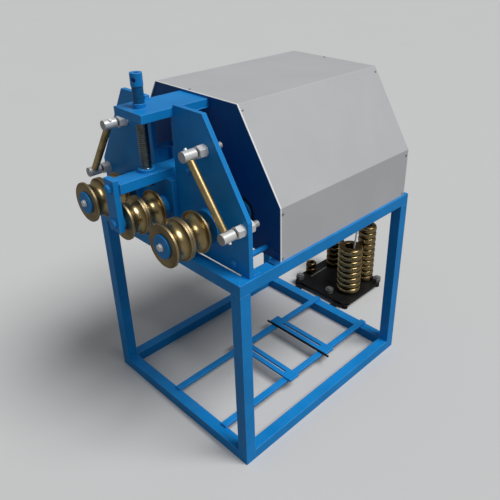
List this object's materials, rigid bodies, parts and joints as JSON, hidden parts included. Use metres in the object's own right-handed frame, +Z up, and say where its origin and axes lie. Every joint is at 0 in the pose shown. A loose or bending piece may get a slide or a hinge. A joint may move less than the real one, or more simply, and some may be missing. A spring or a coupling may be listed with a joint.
{
  "type": "ring roller",
  "caption": "Three-roll ring and profile bending machine on a tube stand, with screw-fed middle roll, side guides and a rack of spare rolls.",
  "frame": {"origin": "on the floor, under the middle of the whole outline", "axes": "+Z up; -Y towards the operator and the rolls, +Y towards the motor cover and the rack; +X to the operator's right; azimuth 0 looks along +Y at the rolls"},
  "size_m": [0.735, 1.353, 1.251],
  "materials": {
    "stand_blue": "satin",
    "plate_blue": "satin",
    "navy": "satin",
    "cover_grey": "satin",
    "brass": "polished",
    "bright_steel": "satin",
    "dark_steel": "satin",
    "black_paint": "satin",
    "black_rubber": "matt",
    "machine_grey": "satin"
  },
  "bodies": {
    "machine": {"leg_front_left": "stand_blue", "leg_front_right": "stand_blue", "leg_rear_left": "stand_blue", "leg_rear_right": "stand_blue", "top_rail_front": "stand_blue", "top_rail_rear": "stand_blue", "top_rail_left": "stand_blue", "top_rail_right": "stand_blue", "base_rail_front": "stand_blue", "base_rail_rear": "stand_blue", "base_rail_left": "stand_blue", "base_rail_right": "stand_blue", "bed_bar_left": "stand_blue", "bed_bar_right": "stand_blue", "slot_rail_front": "stand_blue", "slot_rail_rear": "stand_blue", "bed_rod": "black_paint", "front_plate": "plate_blue", "back_plate": "navy", "top_plate": "plate_blue", "screw_nut": "plate_blue", "tie_bars": "plate_blue", "tie_bolts": "plate_blue", "slide_guides": "plate_blue", "front_bearings": "plate_blue", "back_bearings": "plate_blue", "bearing_seals": "black_rubber", "cover_shell": "cover_grey", "rear_panel": "cover_grey", "cover_screws": "dark_steel", "cable_gland": "black_rubber", "motor_bearers": "stand_blue", "gearbox": "machine_grey", "motor": "machine_grey", "chain": "dark_steel", "guide_nuts": "bright_steel", "rack_base": "black_paint", "rack_fasteners": "bright_steel", "spare_rolls": "brass"},
    "left_roll": {"shaft_left": "dark_steel", "rolls_left": "brass", "cap_left": "plate_blue", "cap_bolt_left": "bright_steel"},
    "right_roll": {"shaft_right": "dark_steel", "rolls_right": "brass", "cap_right": "plate_blue", "cap_bolt_right": "bright_steel"},
    "drive": {"drive_sprocket": "dark_steel"},
    "yoke": {"yoke_beam": "plate_blue", "yoke_front_arm": "plate_blue", "yoke_slide": "plate_blue", "axle_middle": "plate_blue", "yoke_bolt": "plate_blue"},
    "middle_roll": {"rolls_middle": "brass"},
    "screw": {"screw_rod": "dark_steel", "screw_head": "plate_blue"},
    "guide_left": {"guide_studs_left": "bright_steel"},
    "sleeve_left": {"guide_sleeve_left": "brass"},
    "guide_right": {"guide_studs_right": "bright_steel"},
    "sleeve_right": {"guide_sleeve_right": "brass"}
  },
  "joints": [
    {"name": "left_shaft_spin", "type": "hinge", "parent": "machine", "child": "left_roll", "pos_m": [-0.2, -0.5185, 0.83], "axis": [0, 1, 0], "continuous": true},
    {"name": "right_shaft_spin", "type": "hinge", "parent": "machine", "child": "right_roll", "pos_m": [0.2, -0.5185, 0.83], "axis": [0, 1, 0], "continuous": true},
    {"name": "drive_spin", "type": "hinge", "parent": "machine", "child": "drive", "pos_m": [0, -0.3005, 0.95], "axis": [0, 1, 0], "continuous": true},
    {"name": "yoke_slide", "type": "slide", "parent": "machine", "child": "yoke", "axis": [0, 0, 1], "range_m": [-0.04, 0.11]},
    {"name": "screw_turn", "type": "hinge", "parent": "yoke", "child": "screw", "pos_m": [0, -0.5375, 1], "axis": [0, 0, 1], "range_deg": [-2400, 6600]},
    {"name": "middle_roll_spin", "type": "hinge", "parent": "yoke", "child": "middle_roll", "pos_m": [0, -0.5825, 0.836], "axis": [0, 1, 0], "continuous": true},
    {"name": "guide_left_adjust", "type": "slide", "parent": "machine", "child": "guide_left", "axis": [0, 1, 0], "range_m": [-0.015, 0.005]},
    {"name": "sleeve_left_spin", "type": "hinge", "parent": "guide_left", "child": "sleeve_left", "pos_m": [-0.195, -0.5295, 1.06], "axis": [-0.5887, 0, -0.8084], "continuous": true},
    {"name": "guide_right_adjust", "type": "slide", "parent": "machine", "child": "guide_right", "axis": [0, 1, 0], "range_m": [-0.015, 0.005]},
    {"name": "sleeve_right_spin", "type": "hinge", "parent": "guide_right", "child": "sleeve_right", "pos_m": [0.195, -0.5295, 1.06], "axis": [0.5887, 0, -0.8084], "continuous": true}
  ],
  "couplings": [
    {"joint": "right_shaft_spin", "follows": "left_shaft_spin", "ratio": 1},
    {"joint": "drive_spin", "follows": "left_shaft_spin", "ratio": 1},
    {"joint": "screw_turn", "follows": "yoke_slide", "rad_per_m": 1047.2}
  ]
}
